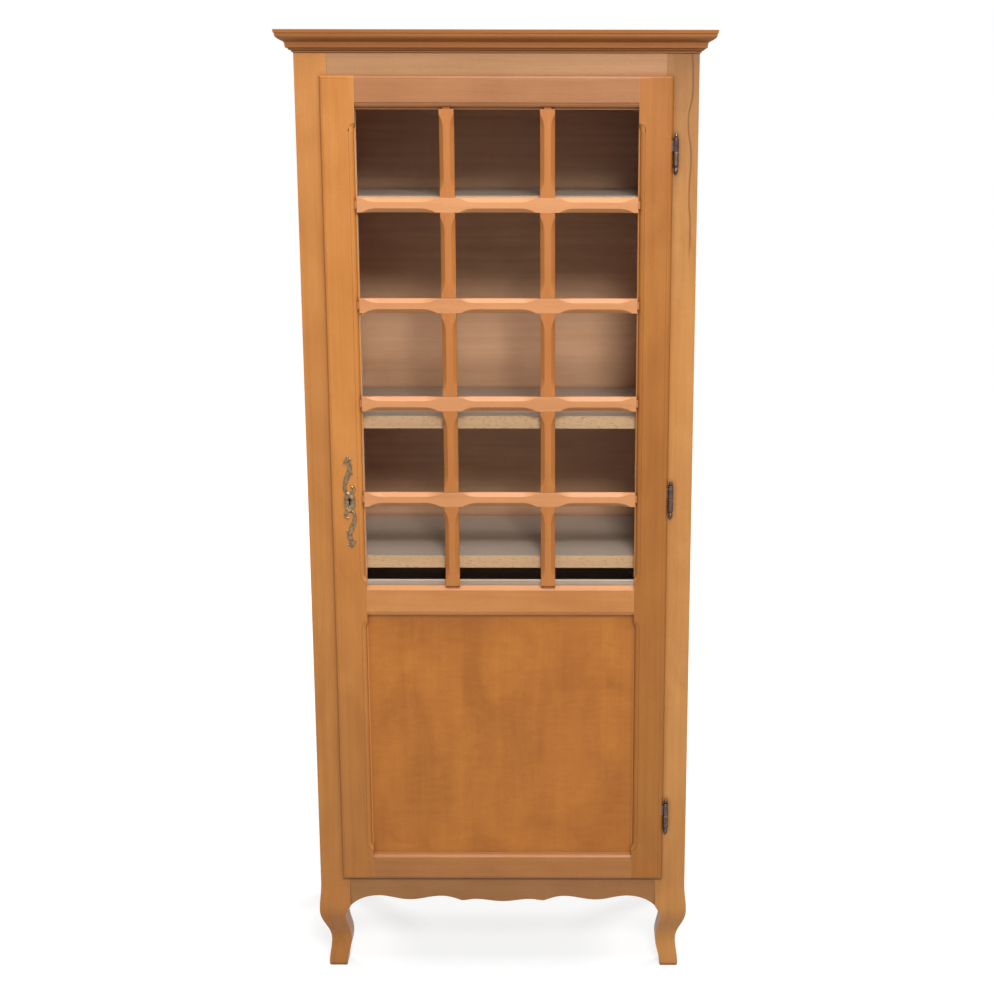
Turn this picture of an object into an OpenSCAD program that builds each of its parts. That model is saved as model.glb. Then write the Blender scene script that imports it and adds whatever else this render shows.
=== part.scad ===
// Glazed one-door display cabinet with cabriole front feet.
// Millimetres, Z up, the front faces -Y.
// Origin: middle of the footprint on the floor, the cornice included.
// Each module draws in face coordinates, where the front faces of the posts lie at y = 0.

/* [Carcass] */
// Width across the outer faces of the posts
body_w = 750; // [660:1:900]
// Depth from the front face to the back edge of the rear posts
body_d = 375; // [320:1:460]
// Overall height, floor to the top of the cornice
body_h = 1890; // [1840:1:2060]
// Side of the square front posts
post_w = 60; // [54:1:66]
// Side of the square rear posts
rear_post_w = 45; // [40:1:52]
// Thickness of the frieze and of the apron
front_rail_t = 24; // [20:1:28]
// Thickness of the side and rear rails
side_rail_t = 22; // [18:1:26]
// How far the side frames sit inside the outer faces of the posts
side_set_in = 4; // [2:1:8]
// Thickness of the side panels and of the back panel
panel_t = 8; // [6:1:10]
// Depth of the grooves and rebates that hold the panels
groove_d = 8; // [6:1:10]
// Length of the tenons on the carcass rails
tenon_l = 25; // [15:1:28]
// Thickness of the tenons on the carcass rails
tenon_t = 8; // [6:1:10]
// Wood left above and below the tenons on the carcass rails
tenon_shoulder = 8; // [6:1:10]
// Height of the rear top and bottom rails
rear_rail_h = 60; // [50:1:80]
// How far the back panel sits inside the rear edges of the posts
back_set_in = 4; // [2:1:8]
// How far the rear posts taper towards the floor
rear_taper = 8; // [4:1:12]

/* [Cornice] */
// Height of the cornice
cornice_h = 40; // [36:1:48]
// How far the cornice stands out from the posts
cornice_out = 32; // [28:1:40]
// Thickness of the top board
top_board_t = 18; // [15:1:22]

/* [Feet and apron] */
// Height of the knee above the floor
knee_z = 132; // [125:1:140]
// How far the knee swells past the post
knee_out = 4; // [0:0.5:8]
// Height over which the post swells into the knee
knee_rise = 60; // [40:1:80]
// Height of the narrow ankle
ankle_z = 60; // [50:1:70]
// How far the outer curve draws in at the ankle
ankle_in = 16.5; // [10:0.5:20]
// How far the outer curve is drawn in at the floor
toe_in = 11; // [6:0.5:15]
// Height of the rounding under the toe
toe_z = 6; // [4:1:8]
// Thickness of the leg below the knee
knee_t = 50; // [46:1:52]
// Distance from the outer face of the post to the inner curve at the ankle
ankle_reach = 58; // [55:0.5:59]
// Distance from the outer face of the post to the inner curve at the floor
toe_reach = 49; // [45:1:52]
// Width of the quarter ellipse that joins leg and apron
corner_w = 68; // [60:1:76]
// Distance from the knee down to the foot of that quarter ellipse
corner_drop = 16; // [10:1:20]
// Height of the aprons' ends, where they are tenoned into the posts
apron_end_h = 50; // [46:1:54]
// Height of the apron's outer arches
arch_z = 164; // [158:1:170]
// Height of the low points between the outer and inner arches
dip_z = 155; // [150:1:157]
// Height of the middle of the apron
centre_z = 151; // [146:1:154]
// Distance from the middle of the apron to the crowns of the two centre lobes
lobe_x = 56; // [48:1:64]
// Distance from the middle of the apron to its cusps
cusp_x = 85; // [78:1:92]
// Distance from the middle of the apron to the crowns of the inner arches
hump_x = 127; // [118:1:136]
// Distance from the middle of the apron to the low points beside the outer arches
dip_x = 192; // [182:1:202]
// Height of the apron's top edge, the sill of the door opening
sill_z = 218; // [205:1:230]

/* [Shelves] */
// Thickness of the shelves
shelf_t = 25; // [20:1:30]
// Distance from the top of the cabinet down to the upper shelf
upper_shelf_down = 302; // [250:1:390]
// Distance from the top of the cabinet down to the middle shelf
middle_shelf_down = 723; // [630:1:810]
// Distance from the middle rail up to the top of the lower shelf
lower_shelf_up = 55; // [52:1:129]
// Thickness of the bottom board
bottom_board_t = 18; // [15:1:22]
// Distance from the front faces to the shelves' front edges
shelf_set_back = 20; // [16:1:40]
// Gap around the shelves
shelf_gap = 2; // [1:0.5:4]
// Width of the cleats under the shelves
cleat_w = 15; // [12:1:18]
// Height of the cleats under the shelves
cleat_h = 22; // [18:1:30]
// Depth that the cleats' ends are let into the posts
cleat_let_in = 6; // [4:1:8]

/* [Door] */
// How far the door overlaps the carcass all round
door_lap = 13; // [9:1:16]
// How far the door stands proud of the carcass
door_proud = 10; // [9:0.5:12]
// Thickness of the door
door_t = 22; // [20:1:24]
// Gap between the door and the edges of its opening
door_gap = 2; // [1.5:0.5:4]
// Height of the frieze that shows between the door and the cornice
frieze_h = 41; // [30:1:60]
// Width of the stiles
stile_w = 64; // [58:1:76]
// Height of the top rail
top_rail_h = 61; // [52:1:80]
// Height of the middle rail
mid_rail_h = 65; // [54:1:80]
// Height of the middle rail's top edge above the floor
mid_rail_top_z = 831; // [760:1:850]
// Height of the bottom rail
bottom_rail_h = 56; // [48:1:70]
// Width of the thumb moulding round the door
edge_w = 6; // [5:0.5:8]
// Width of the thumb moulding on the hinge side
hinge_edge_w = 10.5; // [9:0.5:12]
// Width of the inner moulding on stiles and rails
mould_w = 12.5; // [10:0.5:14]
// Thickness of the door panel
door_panel_t = 8; // [6:0.5:8]
// Radius of the cutter that starts and ends the mouldings
mould_cutter_r = 10; // [6:1:16]
// Distance from a rail to the start of the stiles' moulding
mould_stop = 4; // [2:1:10]

/* [Glazing bars] */
// Width of the bars
bar_w = 28; // [22:1:34]
// Distance between the centres of the two upright bars
upright_pitch = 188; // [150:1:210]
// Width of the stopped chamfers
chamfer = 8; // [5:0.5:9]
// Length of square edge left between a chamfer and a crossing
chamfer_stop = 8; // [4:1:14]
// Radius of the cutter that runs the chamfers out
chamfer_cutter_r = 45; // [20:1:60]
// Thickness of the glass
glass_t = 3; // [2:0.5:4]
// How far the bottom glazing bead shows above the middle rail
bead_rise = 9; // [0:1:12]

/* [Hinges and lock] */
// Length of each hinge over its finials
hinge_l = 77; // [70:1:90]
// Radius of the hinge barrels
barrel_r = 5.2; // [4.5:0.1:5.4]
// Radius of the hinge pins
hinge_pin_r = 3; // [2.5:0.1:3.4]
// Distance from the ends of the door to the middles of the outer hinges
hinge_inset = 139; // [110:1:180]
// Reach of the hinge blades into the wood
blade_l = 28; // [20:1:34]
// Distance from the edge of the stile to the keyhole
key_inset = 35.5; // [33:0.5:38]
// Height of the keyhole above the floor
key_z = 1001; // [900:1:1100]
// Length of the lock case
lock_l = 40; // [36:1:40]
// Height of the lock case
lock_h = 70; // [60:1:90]
// Thickness of the lock case
lock_t = 9; // [8:0.5:9.5]
// Height of the lock bolt
bolt_h = 12; // [8:1:16]
// Travel of the lock bolt
bolt_throw = 8; // [5:1:10]

/* [Hidden] */

face_y = (cornice_out - body_d) / 2;
half_w = body_w / 2;
cornice_z = body_h - cornice_h;
frame_top = body_h - top_board_t;
opening_w = body_w - 2 * post_w;
tiny = 0.1;
over = 1;
function past(gap) = gap > 0 ? over : 0;

upper_shelf_z = body_h - upper_shelf_down;
middle_shelf_z = body_h - middle_shelf_down;
lower_shelf_z = mid_rail_top_z + lower_shelf_up;
corner_z0 = knee_z - corner_drop;

door_w = opening_w + 2 * door_lap;
door_z0 = sill_z - door_lap;
door_z1 = cornice_z - frieze_h;
opening_top = door_z1 - door_lap;
door_front = -door_proud;
door_back = door_t - door_proud;
lip_back = -0.5;
leaf_w = opening_w - 2 * door_gap;
leaf_z0 = sill_z + door_gap;
leaf_z1 = opening_top - door_gap;

sight_w = door_w - 2 * stile_w;
glass_z0 = mid_rail_top_z;
glass_z1 = door_z1 - top_rail_h;
panel_z0 = door_z0 + bottom_rail_h;
panel_z1 = mid_rail_top_z - mid_rail_h;
rebate = 8;
rebate_y = 1;
pane_gap = 0.5;
bead_y = rebate_y + glass_t;
door_tenon_l = 35;
door_tenon_t = 6;
door_tenon_y = rebate_y - door_tenon_t;
door_tenon_in = 15;

level_count = 4;
bar_front = door_front + 1;
lap_y = (bar_front + rebate_y) / 2;
stub_l = 6;
stub_t = 4;
light_h = (glass_z1 - glass_z0 - level_count * bar_w) / (level_count + 1);

side_in = half_w - side_set_in - side_rail_t;
side_panel_x = side_in + (side_rail_t - panel_t) / 2;
rear_y = body_d - rear_post_w;
back_rebate_w = 10;
back_y = body_d - back_set_in - panel_t;
back_z0 = sill_z - rear_rail_h / 2;
rear_rail_y = back_y - side_rail_t;

pivot_x = door_w / 2 + barrel_r + 0.3;
pivot_y = -barrel_r - 0.8;
bore_gap = 0.05;
blade_t = 2;
blade_h = 18;
hinge_zs = [door_z0 + hinge_inset, (door_z0 + door_z1) / 2, door_z1 - hinge_inset];

key_x = -door_w / 2 + key_inset;
bolt_z = key_z + 15;
bolt_t = 4;
bolt_l = 34;
talon_r = 3;
lock_y = door_back - lock_t;
bolt_y = lock_y + (lock_t - bolt_t) / 2;
strike_t = 2;
strike_w = 14;
strike_h = 60;
keyhole_r = 4;
keyhole_up = 5;
slot_w = 4;
slot_down = 8;
escutcheon_t = 2.5;
arm_t = 2.1;
edge_step = 1;

oak = [0.80, 0.60, 0.38];
oak_dark = [0.72, 0.47, 0.24];
beech = [0.82, 0.66, 0.50];
bronze = [0.36, 0.30, 0.24];
steel = [0.55, 0.55, 0.55];
clear_glass = [0.75, 0.85, 0.85, 0.35];

// A smooth line through a list of turning points [s, value], level at each turning point.
function ease(a, b, t) = a + (b - a) * (1 - cos(180 * t)) / 2;
function wave(turns, n = 8) = concat(
    [for (i = [0 : len(turns) - 2]) for (k = [0 : n - 1])
        [turns[i][0] + (turns[i + 1][0] - turns[i][0]) * k / n, ease(turns[i][1], turns[i + 1][1], k / n)]],
    [turns[len(turns) - 1]]);

// Quarter ellipse that joins the leg's inner curve to the arch, as distance from the outer face and height.
function corner(a) = [knee_t + corner_w * (1 - cos(a)), corner_z0 + (arch_z - corner_z0) * sin(a)];
function corner_angle(reach) = acos(1 - (reach - knee_t) / corner_w);

function swap(pts) = [for (p = pts) [p[1], p[0]]];

// Side view of a cabriole leg: [distance inwards from the outer face, height].
toe_round = 1.5;
function outer_curve() = swap(wave([[cornice_z, 0], [knee_z + knee_rise, 0], [knee_z, -knee_out],
    [ankle_z, ankle_in], [toe_z, toe_in], [0, toe_in + toe_round]]));
function inner_curve() = concat(
    swap(wave([[0, toe_reach - toe_round], [toe_z, toe_reach], [ankle_z, ankle_reach], [corner_z0, knee_t]])),
    [for (a = [9 : 9 : corner_angle(post_w)]) corner(a)],
    [corner(corner_angle(post_w))]);
function leg_outline() = concat([[0, frame_top]], outer_curve(), inner_curve(), [[post_w, frame_top]]);

module place() {
    translate([0, face_y, 0]) children();
}

module mirror_x(on) {
    if (on) mirror([1, 0, 0]) children();
    else children();
}

module block(x0, x1, y0, y1, z0, z1) {
    translate([x0, y0, z0]) cube([x1 - x0, y1 - y0, z1 - z0]);
}

// Draws a flat outline of [x, z] points upright, from y0 to y1.
module upright(y0, y1) {
    translate([0, y1, 0]) rotate([90, 0, 0]) linear_extrude(y1 - y0) children();
}

// Draws a flat outline of [y, z] points upright, from x0 to x1.
module sideways(x0, x1) {
    translate([x0, 0, 0]) rotate([90, 0, 90]) linear_extrude(x1 - x0) children();
}

// Tenons of the carcass rails, grown by gap to make the mortises.
module front_tenons(z0, z1, gap = 0) {
    y = (front_rail_t - tenon_t) / 2;
    for (left = [false, true]) mirror_x(left)
        block(opening_w / 2 - past(gap), opening_w / 2 + tenon_l + gap, y - gap, y + tenon_t + gap,
              z0 + tenon_shoulder - gap, z1 - tenon_shoulder + gap);
}

module side_tenons(z0, z1, gap = 0) {
    x = side_in + (side_rail_t - tenon_t) / 2;
    block(x - gap, x + tenon_t + gap, post_w - tenon_l - gap, rear_y + tenon_l + gap,
          z0 + tenon_shoulder - gap, z1 - tenon_shoulder + gap);
}

module rear_tenons(z0, z1, gap = 0) {
    x = half_w - rear_post_w + tenon_l + gap;
    y = rear_rail_y + (side_rail_t - tenon_t) / 2;
    block(-x, x, y - gap, y + tenon_t + gap, z0 + tenon_shoulder - gap, z1 - tenon_shoulder + gap);
}

// Lower and upper edge of each rail.
side_levels = [[sill_z - apron_end_h, sill_z], [panel_z1, panel_z1 + mid_rail_h], [opening_top, frame_top]];
rear_levels = [[sill_z - rear_rail_h, sill_z], [frame_top - rear_rail_h, frame_top]];

module side_joints() {
    for (level = side_levels) side_tenons(level[0], level[1], tiny);
    block(side_panel_x - tiny, side_panel_x + panel_t + tiny,
          post_w - groove_d - tiny, rear_y + groove_d + tiny, sill_z - groove_d, opening_top + groove_d);
    cleat_bars(tiny);
}

// Cleats on the right-hand side, with their ends let into the posts.
module cleat_bars(gap = 0) {
    for (z = [upper_shelf_z, middle_shelf_z, lower_shelf_z])
        block(side_in - cleat_w - gap, side_in + gap, post_w - cleat_let_in - gap, rear_y + cleat_let_in + gap,
              z - shelf_t - cleat_h - gap, z - shelf_t + gap);
}

// Right-hand front post with its cabriole foot.
module front_post_body() {
    difference() {
        intersection() {
            translate([half_w, 0, 0]) mirror([1, 0, 0]) upright(-knee_out - over, post_w + over)
                polygon(leg_outline());
            sideways(half_w - post_w - over, half_w + knee_out + over) polygon(leg_outline());
        }
        front_tenons(sill_z - apron_end_h, sill_z, tiny);
        front_tenons(opening_top, frame_top, tiny);
        side_joints();
    }
}

module front_left_post() {
    color(oak) place() difference() {
        mirror_x(true) front_post_body();
        bolt_path();
        strike_seat(tiny);
    }
}

module front_right_post() {
    color(oak) place() difference() {
        front_post_body();
        for (z = hinge_zs) translate([pivot_x, pivot_y, z]) hinge_blade_lower(tiny);
    }
}

// Right-hand rear post, straight outside and tapered on its inner faces.
module rear_post_body() {
    foot_w = rear_post_w - rear_taper;
    outline = concat([[0, frame_top], [0, 0], [foot_w, 0]],
                     swap(wave([[toe_z, foot_w], [sill_z - rear_rail_h, rear_post_w]])),
                     [[rear_post_w, frame_top]]);
    difference() {
        intersection() {
            translate([half_w, 0, 0]) mirror([1, 0, 0]) upright(rear_y - over, body_d + over) polygon(outline);
            translate([0, body_d, 0]) mirror([0, 1, 0])
                sideways(half_w - rear_post_w - over, half_w + over) polygon(outline);
        }
        side_joints();
        for (level = rear_levels) rear_tenons(level[0], level[1], tiny);
        block(half_w - rear_post_w - over, half_w - rear_post_w + back_rebate_w,
              back_y, body_d + over, back_z0, frame_top + over);
    }
}

module rear_left_post() {
    color(oak) place() mirror_x(true) rear_post_body();
}

module rear_right_post() {
    color(oak) place() rear_post_body();
}

module front_top_rail() {
    color(oak) place() {
        block(-opening_w / 2, opening_w / 2, 0, front_rail_t, opening_top, frame_top);
        front_tenons(opening_top, frame_top);
    }
}

// Lower edge of the front apron from the middle to the right-hand post.
cusp_z = dip_z - 2;
hump_z = arch_z - 1;
lobe_z = centre_z + 5;
function front_edge() = concat(
    wave([[0, centre_z], [lobe_x, lobe_z], [cusp_x, cusp_z]]),
    [for (a = [11.25 : 11.25 : 90])
        [cusp_x + (hump_x - cusp_x) * a / 90, cusp_z + (hump_z - cusp_z) * sin(a)]],
    [for (p = wave([[hump_x, hump_z], [dip_x, dip_z], [half_w - knee_t - corner_w, arch_z]]))
        if (p[0] > hump_x) p],
    [for (a = [81 : -9 : corner_angle(post_w) + 4]) [half_w - corner(a)[0], corner(a)[1]]],
    [[half_w - post_w, corner(corner_angle(post_w))[1]]]);
function mirrored(pts) = [for (i = [len(pts) - 1 : -1 : 1]) [-pts[i][0], pts[i][1]]];

module front_apron() {
    color(oak_dark) place() {
        upright(0, front_rail_t) polygon(concat(
            [[opening_w / 2, sill_z], [-opening_w / 2, sill_z]], mirrored(front_edge()), front_edge()));
        front_tenons(sill_z - apron_end_h, sill_z);
    }
}

module rail_with_grooves(level, low, high) {
    difference() {
        union() {
            block(side_in, side_in + side_rail_t, post_w, rear_y, level[0], level[1]);
            side_tenons(level[0], level[1]);
        }
        if (low) side_groove(level[0] - over, level[0] + groove_d);
        if (high) side_groove(level[1] - groove_d, level[1] + over);
    }
}

module side_groove(z0, z1) {
    block(side_panel_x, side_panel_x + panel_t, post_w - tenon_l - over, rear_y + tenon_l + over, z0, z1);
}

module side_top_rail(left) {
    color(oak) place() mirror_x(left) rail_with_grooves(side_levels[2], true, false);
}

module side_middle_rail(left) {
    color(oak) place() mirror_x(left) rail_with_grooves(side_levels[1], true, true);
}

// Lower edge of a side apron, from the front leg's curve to the rear post.
function side_edge() = concat(
    [corner(corner_angle(post_w))],
    [for (a = [corner_angle(post_w) + 9 : 9 : 88]) corner(a)],
    wave([[knee_t + corner_w, arch_z], [(post_w + rear_y) / 2, dip_z],
          [rear_y - corner_w, arch_z], [rear_y, centre_z]]));

module side_apron(left) {
    color(oak_dark) place() mirror_x(left) difference() {
        union() {
            sideways(side_in, side_in + side_rail_t)
                polygon(concat(side_edge(), [[rear_y, sill_z], [post_w, sill_z]]));
            side_tenons(side_levels[0][0], side_levels[0][1]);
        }
        side_groove(sill_z - groove_d, sill_z + over);
    }
}

module side_panel(left, z0, z1) {
    color(oak) place() mirror_x(left)
        block(side_panel_x + tiny, side_panel_x + panel_t - tiny,
              post_w - groove_d + tiny, rear_y + groove_d - tiny, z0 - groove_d + tiny, z1 + groove_d - tiny);
}

module rear_rail(level) {
    color(beech) place() {
        block(-half_w + rear_post_w, half_w - rear_post_w, rear_rail_y, back_y, level[0], level[1]);
        rear_tenons(level[0], level[1]);
    }
}

module back_panel() {
    x = half_w - rear_post_w + back_rebate_w - tiny;
    color(beech) place() block(-x, x, back_y, back_y + panel_t, back_z0 + tiny, frame_top - tiny);
}

module top_board() {
    color(oak) place() block(-half_w, half_w, 0, body_d, frame_top, body_h);
}

// A board that fills the inside and is notched round the posts.
module notched_board(z0, z1, y0, side_x) {
    g = shelf_gap;
    difference() {
        block(-side_x, side_x, y0, back_y - g, z0, z1);
        for (left = [false, true]) mirror_x(left) {
            block(half_w - post_w - g, side_x + over, y0 - over, post_w + g, z0 - over, z1 + over);
            block(half_w - rear_post_w - g, side_x + over, rear_y - g, back_y + over, z0 - over, z1 + over);
        }
    }
}

module bottom_board() {
    color(beech) place()
        notched_board(sill_z, sill_z + bottom_board_t, door_back + door_gap, side_panel_x - tiny);
}

module shelf(z) {
    color(beech) place() notched_board(z - shelf_t, z, shelf_set_back, side_in - shelf_gap);
}

module shelf_cleats() {
    color(beech) place() {
        cleat_bars();
        mirror([1, 0, 0]) cleat_bars();
    }
}

// Cornice section: fascia, quirk, ovolo, hollow, fillets. [distance out from the posts, height]
function arc(cx, cz, r, a0, a1, n = 6) =
    [for (k = [0 : n]) let (a = a0 + (a1 - a0) * k / n) [cx + r * cos(a), cz + r * sin(a)]];
function cornice_section() = let (w = cornice_out, h = cornice_h) concat(
    [[0, 0], [3, 0], [3, 3]],
    arc(3, 9.5, 6.5, -90, -20, 4),
    [[11.5, 7.6], [13, 8.6]],
    [for (k = [0 : 6]) [13 + 3.5 * (1 - cos(15 * k)), 8.6 + 10.4 * sin(15 * k)]],
    [[w - 9, h - 17.5], [w - 7.5, h - 16.5]],
    arc(w - 10, h - 9, 7.5, -62, 0, 6),
    [[w - 2.5, h - 7], [w - 1, h - 6.5], [w, h - 0.5], [w - 0.5, h], [0, h]]);

module cornice_front() {
    c = cornice_out + over;
    color(oak) place() intersection() {
        translate([0, 0, cornice_z]) sideways(-half_w - c, half_w + c)
            mirror([1, 0]) polygon(cornice_section());
        translate([0, 0, cornice_z - over]) linear_extrude(cornice_h + 2 * over)
            polygon([[-half_w, 0], [-half_w - c, -c], [half_w + c, -c], [half_w, 0]]);
    }
}

module cornice_side(left) {
    c = cornice_out + over;
    color(oak) place() mirror_x(left) intersection() {
        translate([half_w, 0, cornice_z]) upright(-c, body_d) polygon(cornice_section());
        translate([0, 0, cornice_z - over]) linear_extrude(cornice_h + 2 * over)
            polygon([[half_w, 0], [half_w + c, -c], [half_w + c, body_d], [half_w, body_d]]);
    }
}

module strike_seat(gap = 0) {
    x = -opening_w / 2;
    y = bolt_y + bolt_t / 2;
    block(x - strike_t - gap, x + past(gap), y - strike_w / 2 - gap, y + strike_w / 2 + gap,
          bolt_z - strike_h / 2 - gap, bolt_z + strike_h / 2 + gap);
}

// Space that the bolt moves in, past the edge of the leaf.
module bolt_path() {
    g = 0.5;
    block(-leaf_w / 2 - bolt_throw - 2, -opening_w / 2 + over, bolt_y - g, bolt_y + bolt_t + g,
          bolt_z - bolt_h / 2 - g, bolt_z + bolt_h / 2 + g);
}

module strike_plate() {
    color(bronze) place() difference() {
        strike_seat();
        bolt_path();
    }
}

// Turned outline of a hinge from its middle to the tip of a finial: [radius, height].
module finial(top) {
    b = hinge_l / 2 - 15;
    r = barrel_r;
    tip = top
        ? [[r - 1.2, 2], [r + 0.2, 2.6], [r + 0.2, 4], [r - 2, 5],
           [r - 1.4, 7], [r - 2, 10], [r - 3.6, 13], [0, 15]]
        : [[r - 1.8, 2], [r - 2.2, 4], [r - 1.4, 6], [r - 0.8, 8.5],
           [r - 1.2, 11.5], [r - 3, 14], [0, 15]];
    rotate_extrude($fn = 40) polygon(concat(
        [[0, tiny], [r - 0.2, tiny], [r - 0.2, b - 3], [r, b - 2], [r, b]],
        [for (p = tip) [p[0], b + p[1]]]));
}

module hinge_blade(angle, z0, gap) {
    rotate([0, 0, angle]) block(barrel_r - over, barrel_r + blade_l, -blade_t / 2 - gap, blade_t / 2 + gap,
                                z0 - gap, z0 + blade_h + gap);
}

module hinge_blade_lower(gap = 0) {
    hinge_blade(90, -blade_h - 3, gap);
}

module hinge_blade_upper(gap = 0) {
    hinge_blade(180, 3, gap);
}

module hinge_post_halves() {
    pin_top = hinge_l / 2 - 18;
    color(bronze) place() for (z = hinge_zs) translate([pivot_x, pivot_y, z]) {
        mirror([0, 0, 1]) finial(false);
        hinge_blade_lower();
        translate([0, 0, -2]) cylinder(h = pin_top + 2, r = hinge_pin_r, $fn = 40);
    }
}

module hinge_door_halves() {
    bore_top = hinge_l / 2 - 17;
    color(bronze) place() for (z = hinge_zs) translate([pivot_x, pivot_y, z]) difference() {
        union() {
            finial(true);
            hinge_blade_upper();
        }
        translate([0, 0, -over]) cylinder(h = bore_top + over, r = hinge_pin_r + bore_gap, $fn = 40);
    }
}

// Waste of the thumb moulding on the edge of the door: [distance in from the edge, depth from the front].
module edge_waste(w) {
    r = min(w, door_proud - edge_step) - edge_step;
    difference() {
        translate([-over, -over]) square([w + over, edge_step + r + over]);
        translate([r, edge_step]) square([w, r + over]);
        translate([r, edge_step + r]) circle(r, $fn = 48);
    }
}

module upright_edge_waste(left, w) {
    mirror_x(left) translate([door_w / 2, door_front, door_z0 - over]) mirror([1, 0, 0])
        linear_extrude(door_z1 - door_z0 + 2 * over) edge_waste(w);
}

module level_edge_waste() {
    rotate([90, 0, 90]) translate([door_front, 0, -door_w / 2 - over])
        linear_extrude(door_w + 2 * over) mirror([1, -1]) edge_waste(edge_w);
}

module door_edge_waste() {
    upright_edge_waste(true, edge_w);
    upright_edge_waste(false, hinge_edge_w);
    translate([0, 0, door_z0]) level_edge_waste();
    translate([0, 0, door_z1]) mirror([0, 0, 1]) level_edge_waste();
}

// Waste of the ovolo moulding beside glass and panel: [distance into the wood, depth].
mould_d = rebate_y + door_proud;
function mould_section() = let (r = mould_w - 4) concat(
    [[-over, -over], [mould_w, -over], [mould_w, 1.5], [mould_w - 1.5, 1.5]],
    [for (a = [10 : 10 : 90]) [mould_w - 1.5 - r * sin(a), 1.5 + r * (1 - cos(a))]],
    [[mould_w - 1.5 - r, mould_d - over / 2], [-over, mould_d - over / 2]]);

// Stopped moulding along a stile's inner edge at the left, from z0 to z1.
module stopped_mould(z0, z1) {
    lead = sqrt(pow(mould_cutter_r + mould_w, 2) - pow(mould_cutter_r, 2));
    a = z0 + mould_stop + lead;
    b = z1 - mould_stop - lead;
    r = mould_cutter_r;
    translate([-sight_w / 2, door_front, 0]) {
        translate([0, 0, a]) linear_extrude(b - a) mirror([1, 0]) polygon(mould_section());
        for (z = [a, b]) translate([r, 0, z]) rotate([-90, 0, 0])
            rotate_extrude($fn = 48) polygon([for (p = mould_section()) [max(p[0] + r, 0), p[1]]]);
    }
}

// Moulding along the whole length of a rail, at height z, cut upwards or downwards.
module rail_mould(z, up) {
    translate([-sight_w / 2 - over, door_front, z]) rotate([90, 0, 90]) linear_extrude(sight_w + 2 * over)
        polygon([for (p = mould_section()) [p[1], up ? p[0] : -p[0]]]);
}

// Chamfer along the upper front edge of a rail, at height z.
module rail_chamfer(z) {
    translate([-sight_w / 2 - over, door_front, z]) rotate([90, 0, 90]) linear_extrude(sight_w + 2 * over)
        polygon([[-over, over], [-over, -chamfer - over], [chamfer + over, over]]);
}

module door_tenons(z0, z1, gap = 0) {
    x = sight_w / 2 + door_tenon_l + gap;
    block(-x, x, door_tenon_y - gap, rebate_y + gap, z0 + door_tenon_in - gap, z1 - door_tenon_in + gap);
}

rail_levels = [[door_z0, panel_z0], [panel_z1, mid_rail_top_z], [glass_z1, door_z1]];

module glass_rebate() {
    x = sight_w / 2 + rebate;
    block(-x, x, rebate_y, door_back + over, glass_z0 - rebate, glass_z1 + rebate);
}

module panel_groove() {
    x = sight_w / 2 + rebate;
    block(-x, x, rebate_y, rebate_y + door_panel_t, panel_z0 - rebate, panel_z1 + rebate);
}

// Blank of the door frame between two x values and two heights: lip in front, leaf behind.
module door_blank(x0, x1, z0, z1) {
    difference() {
        union() {
            block(x0, x1, door_front, lip_back, z0, z1);
            block(max(x0, -leaf_w / 2), min(x1, leaf_w / 2), lip_back - tiny, door_back,
                  max(z0, leaf_z0), min(z1, leaf_z1));
        }
        door_edge_waste();
    }
}

// A stile with its mouldings, rebate, groove and mortises, before the lock or the hinges are cut in.
module stile_body(left) {
    x = left ? -door_w / 2 : sight_w / 2;
    difference() {
        door_blank(x, x + stile_w, door_z0, door_z1);
        mirror_x(!left) {
            stopped_mould(glass_z0, glass_z1);
            stopped_mould(panel_z0, panel_z1);
        }
        glass_rebate();
        panel_groove();
        for (level = rail_levels) door_tenons(level[0], level[1], tiny);
        for (i = [0 : level_count - 1]) level_stubs(i, tiny);
    }
}

module lock_pocket(gap = 0) {
    block(-leaf_w / 2 - past(gap), -leaf_w / 2 + lock_l + gap, lock_y - gap, door_back + past(gap),
          key_z - lock_h / 2 - gap, key_z + lock_h / 2 + gap);
}

// Keyhole: a round top and a slot for the bit.
module keyhole(y0, y1) {
    upright(y0, y1) {
        translate([key_x, key_z + keyhole_up]) circle(keyhole_r, $fn = 40);
        translate([key_x - slot_w / 2, key_z - slot_down]) square([slot_w, slot_down + keyhole_up]);
    }
}

module door_left_stile() {
    color(oak_dark) place() difference() {
        stile_body(true);
        lock_pocket(tiny);
        keyhole(door_front - over, lock_y + over);
    }
}

module door_right_stile() {
    color(oak_dark) place() difference() {
        stile_body(false);
        for (z = hinge_zs) translate([pivot_x, pivot_y, z]) hinge_blade_upper(tiny);
    }
}

module door_top_rail() {
    color(oak_dark) place() difference() {
        union() {
            door_blank(-sight_w / 2, sight_w / 2, glass_z1, door_z1);
            door_tenons(glass_z1, door_z1);
        }
        rail_mould(glass_z1, true);
        glass_rebate();
        for (s = [-1, 1]) upright_stubs(s, tiny);
    }
}

module door_middle_rail() {
    color(oak_dark) place() difference() {
        union() {
            door_blank(-sight_w / 2, sight_w / 2, panel_z1, mid_rail_top_z);
            door_tenons(panel_z1, mid_rail_top_z);
        }
        rail_mould(panel_z1, true);
        rail_chamfer(mid_rail_top_z);
        glass_rebate();
        panel_groove();
        for (s = [-1, 1]) upright_stubs(s, tiny);
    }
}

module door_bottom_rail() {
    color(oak_dark) place() difference() {
        union() {
            door_blank(-sight_w / 2, sight_w / 2, door_z0, panel_z0);
            door_tenons(door_z0, panel_z0);
        }
        rail_mould(panel_z0, false);
        panel_groove();
    }
}

module door_panel() {
    r = rebate - pane_gap;
    x = sight_w / 2 + r;
    color(oak_dark) place()
        block(-x, x, rebate_y + tiny, rebate_y + door_panel_t - tiny, panel_z0 - r, panel_z1 + r);
}

function level_z(i) = glass_z1 - (i + 1) * light_h - i * bar_w - bar_w / 2;

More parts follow.
